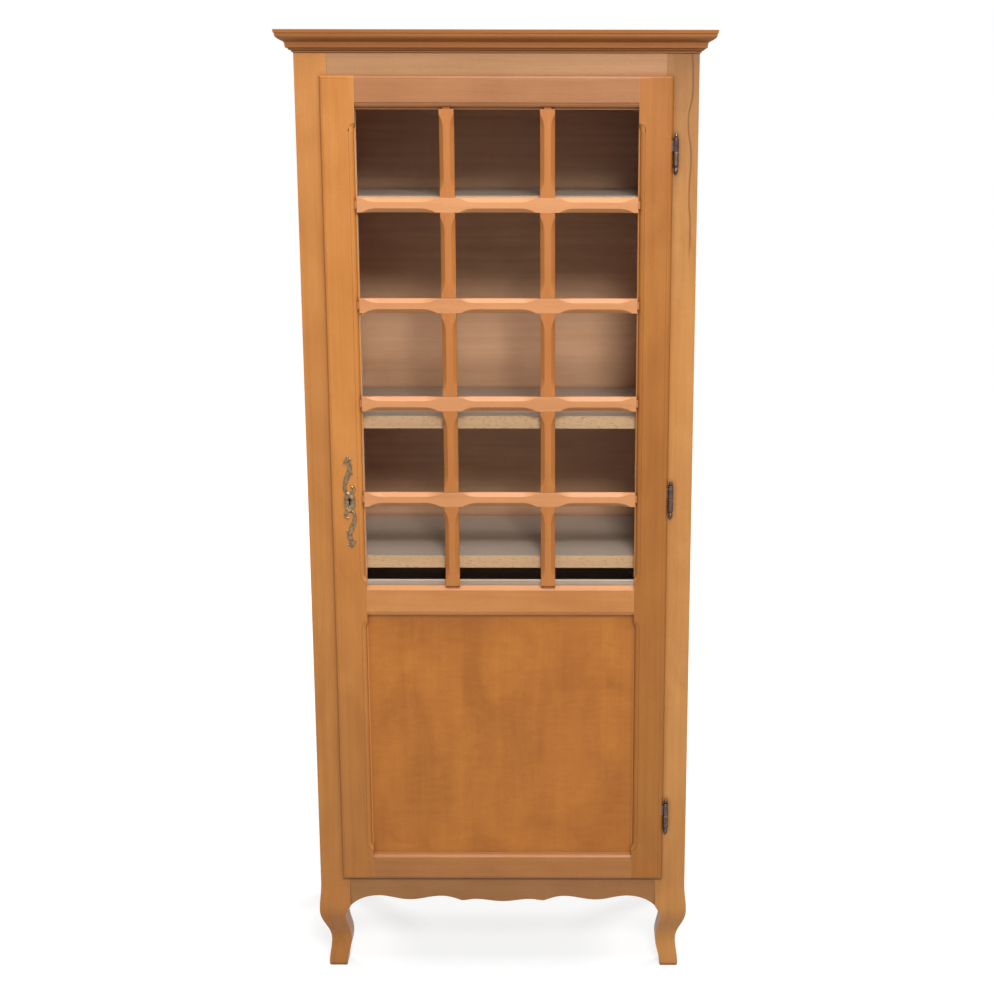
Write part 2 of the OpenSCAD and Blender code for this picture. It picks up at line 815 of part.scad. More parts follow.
module level_stubs(i, gap = 0) {
    w = sight_w / 2 + stub_l + gap;
    block(-w, w, lap_y - gap, lap_y + stub_t + gap,
          level_z(i) - bar_w / 4 - gap, level_z(i) + bar_w / 4 + gap);
}

module upright_stubs(side, gap = 0) {
    x = side * upright_pitch / 2;
    block(x - bar_w / 4 - gap, x + bar_w / 4 + gap, lap_y - gap, lap_y + stub_t + gap,
          glass_z0 - stub_l - gap, glass_z1 + stub_l + gap);
}

// Waste of a stopped chamfer along X from x0 to x1, on the edge at height z, below it or above it.
module chamfer_waste(x0, x1, z, up) {
    r = chamfer_cutter_r;
    lead = sqrt(pow(r + chamfer, 2) - pow(r, 2));
    a = x0 + chamfer_stop + lead;
    b = x1 - chamfer_stop - lead;
    s = up ? 1 : -1;
    translate([0, bar_front, z]) {
        translate([a, 0, 0]) rotate([90, 0, 90]) linear_extrude(b - a)
            polygon([[-over, -s * over], [-over, s * (chamfer + over)], [chamfer + over, -s * over]]);
        for (x = [a, b]) translate([x, -over, -s * r]) rotate([-90, 0, 0])
            cylinder(h = chamfer + over, r1 = r + chamfer + over, r2 = r, $fn = 96);
    }
}

light_xs = [[-sight_w / 2, -upright_pitch / 2 - bar_w / 2],
            [-upright_pitch / 2 + bar_w / 2, upright_pitch / 2 - bar_w / 2],
            [upright_pitch / 2 + bar_w / 2, sight_w / 2]];

module level_bar(i) {
    z = level_z(i);
    color(oak_dark) place() difference() {
        union() {
            block(-sight_w / 2, sight_w / 2, bar_front, rebate_y, z - bar_w / 2, z + bar_w / 2);
            level_stubs(i);
        }
        for (light = light_xs) {
            chamfer_waste(light[0], light[1], z - bar_w / 2, true);
            chamfer_waste(light[0], light[1], z + bar_w / 2, false);
        }
        for (s = [-1, 1]) block(s * upright_pitch / 2 - bar_w / 2, s * upright_pitch / 2 + bar_w / 2,
                                lap_y, rebate_y + over, z - bar_w, z + bar_w);
    }
}

module upright_bar(side) {
    x = side * upright_pitch / 2;
    color(oak_dark) place() difference() {
        union() {
            block(x - bar_w / 2, x + bar_w / 2, bar_front, rebate_y, glass_z0, glass_z1);
            upright_stubs(side);
        }
        for (i = [0 : level_count]) {
            top = i == 0 ? glass_z1 : level_z(i - 1) - bar_w / 2;
            translate([x, 0, 0]) rotate([0, -90, 0]) {
                chamfer_waste(top - light_h, top, -bar_w / 2, true);
                chamfer_waste(top - light_h, top, bar_w / 2, false);
            }
        }
        for (i = [0 : level_count - 1])
            block(x - bar_w, x + bar_w, bar_front - over, lap_y,
                  level_z(i) - bar_w / 2, level_z(i) + bar_w / 2);
    }
}

module glass_pane() {
    r = rebate - pane_gap;
    color(clear_glass) place()
        block(-sight_w / 2 - r, sight_w / 2 + r, rebate_y, rebate_y + glass_t, glass_z0 - r, glass_z1 + r);
}

// The upright beads stand between the level ones, so the bottom bead's rise is taken off them.
module level_bead(z0, z1) {
    color(beech) place() block(-sight_w / 2 - rebate, sight_w / 2 + rebate, bead_y, door_back, z0, z1);
}

module upright_bead(x0) {
    color(beech) place() block(x0, x0 + rebate, bead_y, door_back, glass_z0 + bead_rise, glass_z1);
}

// Rounded line through control points [x, z, half width], for the scrolls of the escutcheon.
function spline(p0, p1, p2, p3, t) = 0.5 * (2 * p1 + (p2 - p0) * t + (2 * p0 - 5 * p1 + 4 * p2 - p3) * t * t
    + (3 * p1 - p0 - 3 * p2 + p3) * t * t * t);
function smooth(pts, n = 3) = let (last = len(pts) - 1) concat(
    [for (i = [0 : last - 1]) for (k = [0 : n - 1])
        spline(pts[max(i - 1, 0)], pts[i], pts[i + 1], pts[min(i + 2, last)], k / n)],
    [pts[last]]);
function normal_at(line, i) = let (a = line[max(i - 1, 0)], b = line[min(i + 1, len(line) - 1)],
    l = norm([b[0] - a[0], b[1] - a[1]])) [(a[1] - b[1]) / l, (b[0] - a[0]) / l];
function edge_of(line, side) = [for (i = [0 : len(line) - 1]) let (n = normal_at(line, i))
    [line[i][0] + side * n[0] * line[i][2], line[i][1] + side * n[1] * line[i][2]]];
module ribbon(pts) {
    line = smooth(pts);
    left = edge_of(line, 1);
    right = edge_of(line, -1);
    polygon(concat(left, [for (i = [len(right) - 1 : -1 : 0]) right[i]]));
}

scroll = [[-1.5, 92, 0.6], [-2.5, 86, 4], [-1.2, 79, 4.4], [1.2, 71, 4.8], [1.4, 63, 4.8], [-1.6, 55, 5.2],
          [-5, 47, 4.8], [-8.4, 38, 3.8], [-10, 29, 2.9], [-7.4, 20.5, 2.9], [-1, 16.8, 2.9], [5.6, 18.6, 2.8],
          [8.8, 24.5, 2.6], [7, 30, 2.3], [2.5, 31, 1.8]];
leaf = [[-1, 86, 2], [-5, 83, 2.6], [-8.5, 79, 2], [-10.8, 74, 0.5]];
spur = [[-2, 86, 1.8], [1.5, 86.4, 1.8], [4.6, 85.4, 1.5], [7.6, 83.8, 0.5]];
thorn = [[2, 60, 2.5], [5.5, 57, 1.8], [8.8, 54, 0.4]];
cartouche_w = 12.5;
cartouche_h = 18.5;
waist = 0.12;

// The escutcheon is one casting: a raised cartouche round the keyhole and two scrolled arms.
module cartouche() {
    polygon([for (a = [0 : 10 : 350])
        [cartouche_w * cos(a) * (1 - waist * pow(cos(2 * a), 2)), cartouche_h * sin(a)]]);
}

module arm() {
    ribbon(scroll);
    ribbon(leaf);
    ribbon(spur);
    ribbon(thorn);
}

module escutcheon() {
    color(bronze) place() difference() {
        translate([key_x, 0, key_z]) {
            upright(door_front - escutcheon_t, door_front) cartouche();
            for (turn = [0, 180]) upright(door_front - arm_t, door_front) rotate(turn) arm();
        }
        keyhole(door_front - escutcheon_t - over, door_front + over);
    }
}

module lock_case() {
    slide = 0.2;
    color(steel) place() difference() {
        lock_pocket();
        block(-leaf_w / 2 - over, -leaf_w / 2 + bolt_l + over, bolt_y - slide, bolt_y + bolt_t + slide,
              bolt_z - bolt_h / 2 - slide, bolt_z + bolt_h / 2 + slide);
        translate([key_x, lock_y - over, key_z + keyhole_up]) rotate([-90, 0, 0])
            cylinder(h = bolt_y + bolt_t - lock_y + over, r = bolt_h, $fn = 48);
    }
}

module lock_bolt() {
    color(steel) place() difference() {
        block(-leaf_w / 2, -leaf_w / 2 + bolt_l, bolt_y, bolt_y + bolt_t,
              bolt_z - bolt_h / 2, bolt_z + bolt_h / 2);
        translate([key_x, 0, bolt_z - bolt_h / 2]) upright(bolt_y - over, bolt_y + bolt_t + over)
            circle(talon_r, $fn = 32);
    }
}

front_left_post();
front_right_post();
rear_left_post();
rear_right_post();
front_top_rail();
front_apron();
side_top_rail(true);  // left_top_rail
side_middle_rail(true);  // left_middle_rail
side_apron(true);  // left_apron
side_panel(true, side_levels[1][1], opening_top);  // left_upper_panel
side_panel(true, sill_z, side_levels[1][0]);  // left_lower_panel
side_top_rail(false);  // right_top_rail
side_middle_rail(false);  // right_middle_rail
side_apron(false);  // right_apron
side_panel(false, side_levels[1][1], opening_top);  // right_upper_panel
side_panel(false, sill_z, side_levels[1][0]);  // right_lower_panel
rear_rail(rear_levels[1]);  // rear_top_rail
rear_rail(rear_levels[0]);  // rear_bottom_rail
back_panel();
top_board();
bottom_board();
cornice_front();
cornice_side(true);  // cornice_left
cornice_side(false);  // cornice_right
shelf(upper_shelf_z);  // upper_shelf
shelf(middle_shelf_z);  // middle_shelf
shelf(lower_shelf_z);  // lower_shelf
shelf_cleats();
strike_plate();
hinge_post_halves();
door_left_stile();
door_right_stile();
door_top_rail();
door_middle_rail();
door_bottom_rail();
door_panel();
upright_bar(-1);  // upright_bar_left
upright_bar(1);  // upright_bar_right
level_bar(0);  // level_bar_1
level_bar(1);  // level_bar_2
level_bar(2);  // level_bar_3
level_bar(3);  // level_bar_4
glass_pane();
level_bead(glass_z1, glass_z1 + rebate);  // bead_top
level_bead(glass_z0 - rebate, glass_z0 + bead_rise);  // bead_bottom
upright_bead(-sight_w / 2 - rebate);  // bead_left
upright_bead(sight_w / 2);  // bead_right
hinge_door_halves();
escutcheon();
lock_case();
lock_bolt();
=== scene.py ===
"""A glazed one-door display cabinet on cabriole feet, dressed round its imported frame."""

import math

import bmesh
import bpy
from mathutils import Matrix, Vector


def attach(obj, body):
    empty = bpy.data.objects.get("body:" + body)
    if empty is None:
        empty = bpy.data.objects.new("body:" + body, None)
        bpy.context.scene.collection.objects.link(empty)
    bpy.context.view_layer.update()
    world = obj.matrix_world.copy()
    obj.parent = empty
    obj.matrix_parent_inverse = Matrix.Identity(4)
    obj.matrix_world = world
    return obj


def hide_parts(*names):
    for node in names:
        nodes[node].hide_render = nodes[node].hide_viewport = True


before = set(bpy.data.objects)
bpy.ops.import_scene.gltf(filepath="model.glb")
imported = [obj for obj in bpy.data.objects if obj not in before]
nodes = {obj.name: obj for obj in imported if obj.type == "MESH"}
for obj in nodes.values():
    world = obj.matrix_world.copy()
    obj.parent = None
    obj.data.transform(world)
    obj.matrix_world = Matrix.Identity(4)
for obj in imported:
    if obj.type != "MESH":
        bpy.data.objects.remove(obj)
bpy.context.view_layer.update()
scene = bpy.context.scene
scene.view_settings.view_transform = "Standard"


# Camera. The cabinet is seen from eye height, a little to the right of its middle and looking
# down by 13 degrees. The picture was cropped off-centre, which the small sideways shift follows.
picture_w = 994
focal_px = 1674.3
centre_px = 566.8
sensor_w = 36
pitch = 0.22633
yaw = -0.00081
roll = 0.00169
eye = Vector((0.1283, -3.3617, 1.7437))

camera = bpy.data.objects.new("camera", bpy.data.cameras.new("camera"))
scene.collection.objects.link(camera)
camera.data.sensor_fit = "HORIZONTAL"
camera.data.sensor_width = sensor_w
camera.data.lens = focal_px / picture_w * sensor_w
camera.data.shift_x = (picture_w / 2 - centre_px) / picture_w
camera.matrix_world = (Matrix.Translation(eye) @ Matrix.Rotation(yaw, 4, "Z")
                       @ Matrix.Rotation(math.pi / 2 - pitch, 4, "X") @ Matrix.Rotation(roll, 4, "Z"))
scene.camera = camera


# Studio. A white floor and a white surround, which the camera, gloss and glass see at full white,
# while only a soft part of it lights the wood. The floor keeps the cabinet's faint shadow.
def shader_node(tree, kind, inputs=None, **settings):
    """Adds a shader node with its settings, and wires or sets its inputs by name or number."""
    made = tree.nodes.new("ShaderNode" + kind)
    for key, value in settings.items():
        setattr(made, key, value)
    for key, value in (inputs or {}).items():
        if isinstance(value, bpy.types.NodeSocket):
            tree.links.new(value, made.inputs[key])
        else:
            made.inputs[key].default_value = value
    return made


def seen_directly(tree):
    """1 for rays from the camera, from gloss and through glass, and 0 for the light on things."""
    path = shader_node(tree, "LightPath")
    gloss = shader_node(tree, "Math", {0: path.outputs["Is Camera Ray"],
                                       1: path.outputs["Is Glossy Ray"]}, operation="MAXIMUM")
    return shader_node(tree, "Math", {0: gloss.outputs[0], 1: path.outputs["Is Transmission Ray"]},
                       operation="MAXIMUM").outputs[0]


surround_light = 0.21
surround_seen = 1.0
world = bpy.data.worlds.new("surround")
scene.world = world
world.use_nodes = True
tree = world.node_tree
tree.nodes.clear()
lit = shader_node(tree, "Background", {"Color": (1, 1, 1, 1), "Strength": surround_light})
seen = shader_node(tree, "Background", {"Color": (1, 1, 1, 1), "Strength": surround_seen})
mixed = shader_node(tree, "MixShader", {0: seen_directly(tree), 1: lit.outputs[0],
                                        2: seen.outputs[0]})
shader_node(tree, "OutputWorld", {"Surface": mixed.outputs[0]})

floor_size = 30.0
floor_tone = 0.30
near_glow = 0.74
far_glow = 0.93
near_reach = 0.9
far_reach = 4.0
mesh = bpy.data.meshes.new("floor")
half = floor_size / 2
corners = [(-half, -half, 0), (half, -half, 0), (half, half, 0), (-half, half, 0)]
mesh.from_pydata(corners, [], [(0, 1, 2, 3)])
floor = bpy.data.objects.new("floor", mesh)
scene.collection.objects.link(floor)
paint = bpy.data.materials.new("floor_paint")
paint.use_nodes = True
tree = paint.node_tree
tree.nodes.clear()
flat = shader_node(tree, "BsdfDiffuse", {"Color": (floor_tone, floor_tone, floor_tone, 1)})
place = shader_node(tree, "TexCoord").outputs["Object"]
distance = shader_node(tree, "VectorMath", {0: place}, operation="LENGTH").outputs["Value"]
strength = shader_node(tree, "MapRange", {"Value": distance, "From Min": near_reach,
                                          "From Max": far_reach, "To Min": near_glow,
                                          "To Max": far_glow}).outputs[0]
glow = shader_node(tree, "Emission", {"Color": (1, 1, 1, 1), "Strength": strength})
both = shader_node(tree, "AddShader", {0: flat.outputs[0], 1: glow.outputs[0]})
mixed = shader_node(tree, "MixShader", {0: seen_directly(tree), 1: flat.outputs[0],
                                        2: both.outputs[0]})
shader_node(tree, "OutputMaterial", {"Surface": mixed.outputs[0]})
floor.data.materials.append(paint)


def soft_lamp(name, place, target, size, power):
    """A round lamp at a place, turned towards its target, with its width in metres."""
    lamp = bpy.data.objects.new(name, bpy.data.lights.new(name, "AREA"))
    scene.collection.objects.link(lamp)
    lamp.data.shape = "DISK"
    lamp.data.size = size
    lamp.data.energy = power
    lamp.location = place
    lamp.rotation_euler = (Vector(target) - Vector(place)).to_track_quat("-Z", "Y").to_euler()


waist_height = (0, 0, 1.0)
soft_lamp("key", (0.6, -4.2, 3.75), waist_height, size=1.3, power=188)
soft_lamp("top", (0.2, -1.0, 4.2), (0, -0.2, 1.0), size=1.6, power=60)
soft_lamp("behind_left", (-3.2, 3.6, 3.2), waist_height, size=1.6, power=150)
soft_lamp("behind_right", (3.6, 2.8, 3.2), waist_height, size=1.6, power=150)


# Front posts. Each is one length of honey-stained hardwood, square above and shaped below into the
# knee, ankle and toe of a cabriole leg. The stain lies unevenly and the old varnish is soft.
def new_group(name, ins, outs):
    """A new shader node group with its sockets [name, kind, default], and the group's two ends."""
    group = bpy.data.node_groups.new(name, "ShaderNodeTree")
    for label, kind, value in ins:
        socket = group.interface.new_socket(label, in_out="INPUT",
                                            socket_type="NodeSocket" + kind)
        if value is not None:
            socket.default_value = value
    for label, kind in outs:
        group.interface.new_socket(label, in_out="OUTPUT", socket_type="NodeSocket" + kind)
    given = group.nodes.new("NodeGroupInput").outputs
    return group, given, group.nodes.new("NodeGroupOutput").inputs


def calc(tree, operation, a, b=0.0, clamp=False):
    """One sum on two values of a shader."""
    return shader_node(tree, "Math", {0: a, 1: b}, operation=operation, use_clamp=clamp).outputs[0]


def off_middle(tree, value, amount):
    """How far a pattern from 0 to 1 is from its middle, times an amount."""
    return calc(tree, "MULTIPLY", calc(tree, "SUBTRACT", value, 0.5), amount)


def blend(tree, share, first, second):
    """The first colour, with this share of the second laid over it."""
    return shader_node(tree, "Mix", {0: share, 6: first, 7: second}, data_type="RGBA").outputs[2]


def stretched_noise(tree, vector, scale, detail=2.0, twist=0.0, low=0.3, high=0.7):
    """Noise at its own scale on each axis, spread out to run from 0 to 1."""
    place = shader_node(tree, "VectorMath", {0: vector, 1: scale}, operation="MULTIPLY").outputs[0]
    raw = shader_node(tree, "TexNoise", {"Vector": place, "Scale": 1.0, "Detail": detail,
                                         "Distortion": twist})
    return shader_node(tree, "MapRange", {"Value": raw.outputs["Fac"], "From Min": low,
                                          "From Max": high}).outputs[0]


pith_behind = 0.045
pith_lean = 0.014
pith_wander = 0.05
ring_ripple = 0.7
pore_shade = (0.45, 0.38, 0.32, 1)


def board_group():
    """Solid wood, its grain along Z: growth rings round a pith behind the face, figure and pores."""
    group, given, result = new_group(
        "board", [("Vector", "Vector", None), ("Light", "Color", (0.5, 0.3, 0.15, 1)),
                  ("Deep", "Color", (0.3, 0.15, 0.06, 1)), ("Warm", "Color", (0.45, 0.22, 0.12, 1)),
                  ("Ring Width", "Float", 0.013), ("Ring Depth", "Float", 0.2),
                  ("Figure", "Float", 0.5), ("Streak", "Float", 0.2), ("Flame", "Float", 0.08),
                  ("Warmth", "Float", 0.4), ("Fleck", "Float", 0.0)],
        [("Color", "Color"), ("Roughness", "Float"), ("Height", "Float")])
    at = given["Vector"]
    axes = shader_node(group, "SeparateXYZ", {0: at}).outputs
    bend = stretched_noise(group, at, (3, 3, 1.1), 2)
    pith_x = calc(group, "ADD", axes[0], calc(group, "MULTIPLY", bend, pith_wander))
    lean = calc(group, "MULTIPLY", axes[2], pith_lean)
    pith_y = calc(group, "ADD", calc(group, "ADD", axes[1], pith_behind), lean)
    flat = shader_node(group, "CombineXYZ", {0: pith_x, 1: pith_y}).outputs[0]
    radius = shader_node(group, "VectorMath", {0: flat}, operation="LENGTH").outputs["Value"]
    ripple = stretched_noise(group, at, (30, 30, 2.2), 3)
    turns = calc(group, "ADD", calc(group, "DIVIDE", radius, given["Ring Width"]),
                 calc(group, "MULTIPLY", ripple, ring_ripple))
    ramp = shader_node(group, "ValToRGB", {0: calc(group, "FRACT", turns)})
    stops = ramp.color_ramp.elements
    stops[0].color = (0, 0, 0, 1)
    stops[1].position = 0.92
    stops[1].color = (1, 1, 1, 1)
    middle = stops.new(0.62)
    middle.color = (0.25, 0.25, 0.25, 1)
    end = stops.new(1.0)
    end.color = (0.05, 0.05, 0.05, 1)
    ring = ramp.outputs["Color"]
    streak = stretched_noise(group, at, (85, 85, 1.8), 3)
    blotch = stretched_noise(group, at, (10, 10, 5), 3, 0.8)
    flame = stretched_noise(group, at, (16, 16, 46), 2, 1.6)
    fibre = stretched_noise(group, at, (1100, 1100, 22), 2)
    pores = stretched_noise(group, at, (2100, 2100, 130), 1, 0, 0.64, 0.72)
    tone = calc(group, "ADD", 0.5, off_middle(group, streak, given["Streak"]))
    tone = calc(group, "ADD", tone, off_middle(group, blotch, given["Figure"]))
    tone = calc(group, "ADD", tone, off_middle(group, flame, given["Flame"]))
    tone = calc(group, "SUBTRACT", tone, calc(group, "MULTIPLY", ring, given["Ring Depth"]))
    tone = calc(group, "ADD", tone, off_middle(group, fibre, 0.12), clamp=True)
    stained = blend(group, tone, given["Deep"], given["Light"])
    blush = stretched_noise(group, at, (7, 7, 2.2), 2, 0.5)
    stained = blend(group, calc(group, "MULTIPLY", blush, given["Warmth"]), stained, given["Warm"])
    dark = shader_node(group, "Mix", {0: 1.0, 6: given["Deep"], 7: pore_shade}, data_type="RGBA",
                       blend_type="MULTIPLY").outputs[2]
    stained = blend(group, calc(group, "MULTIPLY", pores, 0.35), stained, dark)
    spots = stretched_noise(group, at, (520, 520, 120), 1, 0, 0.60, 0.68)
    stained = blend(group, calc(group, "MULTIPLY", spots, given["Fleck"]), stained, dark)
    group.links.new(stained, result["Color"])
    worn = calc(group, "ADD", 0.34, calc(group, "MULTIPLY", blotch, 0.12))
    group.links.new(calc(group, "ADD", worn, calc(group, "MULTIPLY", fibre, 0.06)), result["Roughness"])
    relief = calc(group, "SUBTRACT", calc(group, "MULTIPLY", fibre, 0.5),
                  calc(group, "MULTIPLY", pores, 0.6))
    relief = calc(group, "ADD", relief, calc(group, "MULTIPLY", ring, 0.25))
    group.links.new(relief, result["Height"])
    return group


def corner_shade_and_edge_wear_group():
    """Darkening for corners, partly old grime and partly painted shade, and where the edges have been
    rubbed bare with use.
    """
    group, given, result = new_group(
        "corner_shade_and_edge_wear", [("Corner Reach", "Float", 0.010), ("Edge Reach", "Float", 0.0015)],
        [("Corner", "Float"), ("Edge", "Float")])
    # Painted shade, partly old grime: the more shut in a point is, the higher its Corner value.
    corner = shader_node(group, "AmbientOcclusion", {"Distance": given["Corner Reach"]}, samples=4)
    shut = calc(group, "SUBTRACT", 1.0, corner.outputs["AO"])
    group.links.new(calc(group, "MULTIPLY", shut, 1.6, clamp=True), result["Corner"])
    edge = shader_node(group, "AmbientOcclusion", {"Distance": given["Edge Reach"]}, samples=4,
                       inside=True, only_local=True)
    bare = calc(group, "SUBTRACT", 1.0, edge.outputs["AO"])
    group.links.new(calc(group, "MULTIPLY", bare, 1.5, clamp=True), result["Edge"])
    return group


board = board_group()
corner_shade_and_edge_wear = corner_shade_and_edge_wear_group()


def tint(red, green, blue):
    """A screen colour, 0 to 255, as the linear colour that a shader takes."""
    channels = [value / 255 for value in (red, green, blue)]
    return [c / 12.92 if c <= 0.04045 else ((c + 0.055) / 1.055) ** 2.4 for c in channels]


grain_order = {"X": "ZYX", "Y": "ZXY", "Z": "XYZ"}
light_shift = (1.16, 1.20, 1.28)
deep_shift = (0.80, 0.73, 0.62)
warm_shift = (0.98, 0.88, 0.94)
rubbed_shift = (1.5, 1.7, 2.2)
# Darkened corners take this share of their colour: partly old dirt, partly painted shade.
dirt_shade = (0.36, 0.22, 0.14)


def shifted(tone, shift):
    """A colour with its red, green and blue each times a factor, and its alpha of 1."""
    return [channel * factor for channel, factor in zip(tone, shift)] + [1]


pale_top_tone = tint(178, 166, 158) + [1]
fresh_part = (0.173, 0.31, 1.37)


def wood(name, along, seed, tone, ring_depth=0.12, figure=0.55, streak=0.28, flame=0.06,
         warmth=0.35, fleck=0.0, corner_dirt_and_shade=0.6, reach=0.010, rub=0.30, coat=0.15, height_shade=None, paler_tops=0.0,
         marks=None):
    """A board's material. along is the axis of its grain, and seed moves it to a fresh part of the tree.

    height_shade is [low z, high z, factor at low z, factor at high z], painted shade that darkens the
    colour towards one end, and marks adds a dark mask of its own.
    """
    material = bpy.data.materials.new(name)
    material.use_nodes = True
    tree = material.node_tree
    tree.nodes.clear()
    place = shader_node(tree, "TexCoord").outputs["Object"]
    axes = shader_node(tree, "SeparateXYZ", {0: place}).outputs
    turned = shader_node(tree, "CombineXYZ", {i: axes[axis] for i, axis in enumerate(grain_order[along])})
    away = [seed * step for step in fresh_part]
    moved = shader_node(tree, "VectorMath", {0: turned.outputs[0], 1: away}, operation="ADD")
    cut = shader_node(tree, "Group", node_tree=board)
    tree.links.new(moved.outputs[0], cut.inputs["Vector"])
    settings = {"Light": shifted(tone, light_shift), "Deep": shifted(tone, deep_shift),
                "Warm": shifted(tone, warm_shift), "Ring Depth": ring_depth, "Figure": figure,
                "Streak": streak, "Flame": flame, "Warmth": warmth, "Fleck": fleck}
    for label, value in settings.items():
        cut.inputs[label].default_value = value
    colour = cut.outputs["Color"]
    # Painted shade: the colour is darkened along the height of the board, where less light reaches it,
    # low down or under the cornice.
    if height_shade:
        low, high, at_low, at_high = height_shade
        factor = shader_node(tree, "MapRange", {"Value": axes["Z"], "From Min": low,
                                                "From Max": high, "To Min": at_low,
                                                "To Max": at_high}).outputs[0]
        shade_by_height = shader_node(tree, "CombineXYZ", {0: factor, 1: factor, 2: factor}).outputs[0]
        colour = shader_node(tree, "VectorMath", {0: colour, 1: shade_by_height},
                             operation="MULTIPLY").outputs[0]
    # Faces that look up are blended towards a pale grey, by the given share.
    if paler_tops:
        facing = shader_node(tree, "NewGeometry").outputs["Normal"]
        upward = shader_node(tree, "SeparateXYZ", {0: facing}).outputs["Z"]
        upward_share = calc(tree, "MULTIPLY", calc(tree, "POWER", upward, 4.0, clamp=True), paler_tops)
        colour = blend(tree, upward_share, colour, pale_top_tone)
    # Painted shade together with dirt: corners are darkened by how shut in they are, and marks add a dark
    # mask of their own.
    shade_and_wear = shader_node(tree, "Group", {"Corner Reach": reach}, node_tree=corner_shade_and_edge_wear)
    dark = shader_node(tree, "VectorMath", {0: colour, 1: dirt_shade},
                       operation="MULTIPLY").outputs[0]
    dirt_shade_and_marks = calc(tree, "MULTIPLY", shade_and_wear.outputs["Corner"], corner_dirt_and_shade)
    if marks:
        dirt_shade_and_marks = calc(tree, "MAXIMUM", dirt_shade_and_marks, marks(tree, axes))
    colour = blend(tree, dirt_shade_and_marks, colour, dark)
    rubbed = calc(tree, "MULTIPLY", shade_and_wear.outputs["Edge"], rub)
    colour = blend(tree, rubbed, colour, shifted(tone, rubbed_shift))
    bump = shader_node(tree, "Bump", {"Strength": 0.25, "Distance": 0.0006,
                                      "Height": cut.outputs["Height"]})
    skin = shader_node(tree, "BsdfPrincipled", {"Base Color": colour,
                                                "Roughness": cut.outputs["Roughness"],
                                                "Normal": bump.outputs[0], "Coat Weight": coat,
                                                "Coat Roughness": 0.3,
                                                "Specular IOR Level": 0.3})
    shader_node(tree, "OutputMaterial", {"Surface": skin.outputs[0]})
    return material


flat_within = math.radians(0.4)
sharp_from = math.radians(32)


def dress(name, material, round_over=0.0008):
    """Gives a solid of the frame its material and breaks its sharp edges by a hair."""
    obj = nodes[name]
    obj.data.materials.clear()
    obj.data.materials.append(material)
    if round_over:
        weld = obj.modifiers.new("weld", "WELD")
        weld.merge_threshold = 1e-5
        planes = obj.modifiers.new("planes", "DECIMATE")
        planes.decimate_type = "DISSOLVE"
        planes.angle_limit = flat_within
        bevel = obj.modifiers.new("bevel", "BEVEL")
        bevel.width = round_over
        bevel.segments = 2
        bevel.limit_method = "ANGLE"
        bevel.angle_limit = sharp_from
        bevel.use_clamp_overlap = True
        normals = obj.modifiers.new("normals", "WEIGHTED_NORMAL")
        normals.keep_sharp = False


grain_line_low = 1.46
grain_line_high = 1.85
grain_line_x = 0.352
grain_line_swing = 0.016
grain_line_core = 0.0005
grain_line_rim = 0.0024
grain_line_dark = 0.70
grain_line_run_in = 0.05
front_skin_y = -0.165


def right_post_marks(tree, axes):
    """A dark grain line that wanders down the upper part of the right post, near its outer edge."""
    height = shader_node(tree, "MapRange", {"Value": axes["Z"], "From Min": grain_line_low,
                                            "From Max": grain_line_high}).outputs[0]
    wander = shader_node(tree, "FloatCurve", {"Value": height})
    points = wander.mapping.curves[0].points
    points[0].location = (0.0, 0.5)
    points[1].location = (1.0, 0.55)
    for share_up, side in ((0.18, 0.66), (0.34, 0.46), (0.52, 0.62), (0.68, 0.24), (0.84, 0.72)):
        points.new(share_up, side)
    wander.mapping.update()
    swing = calc(tree, "MULTIPLY", wander.outputs[0], grain_line_swing)
    offset = calc(tree, "ADD", swing, grain_line_x)
    away = calc(tree, "ABSOLUTE", calc(tree, "SUBTRACT", axes["X"], offset))
    line = shader_node(tree, "MapRange", {"Value": away, "From Min": grain_line_core,
                                          "From Max": grain_line_rim,
                                          "To Min": grain_line_dark, "To Max": 0.0}).outputs[0]
    ends = shader_node(tree, "MapRange", {"Value": axes["Z"], "From Min": grain_line_low,
                                          "From Max": grain_line_low + grain_line_run_in}).outputs[0]
    front = calc(tree, "LESS_THAN", axes["Y"], front_skin_y)
    return calc(tree, "MULTIPLY", calc(tree, "MULTIPLY", line, ends), front)


# Painted shade on both posts: the left darker towards the floor, the right darker at its top, under the
# cornice.
dress("front_left_post", wood("left_post_wood", "Z", 1, tint(198, 132, 65),
                              height_shade=(0.2, 1.8, 0.88, 0.97)), 0)
dress("front_right_post", wood("right_post_wood", "Z", 2, tint(198, 138, 74),
                               height_shade=(1.35, 1.85, 1.0, 0.58), marks=right_post_marks))


# Frieze, apron and cornice. The frieze is pale quarter-sawn wood, the apron's lower edge is fretted in
# lobes and arches, and the cornice is a planed moulding mitred round the top.
cornice_tone = tint(164, 103, 46)
cornice_edge = 0.0004
dress("front_top_rail", wood("frieze_wood", "X", 3, tint(181, 133, 88), streak=0.35, figure=0.3))
dress("front_apron", wood("apron_wood", "X", 4, tint(164, 114, 66), streak=0.35))
# Painted shade: full corner darkening with a long reach darkens the cornice's cove and hollows, as well
# as its dirt.
cornice_wood = wood("cornice_wood", "X", 5, cornice_tone, figure=0.2, corner_dirt_and_shade=1.0, reach=0.035)
dress("cornice_front", cornice_wood, cornice_edge)
cornice_return = wood("cornice_return_wood", "Y", 6, cornice_tone, figure=0.2, corner_dirt_and_shade=1.0, reach=0.035)
for side in ("left", "right"):
    dress("cornice_" + side, cornice_return, cornice_edge)


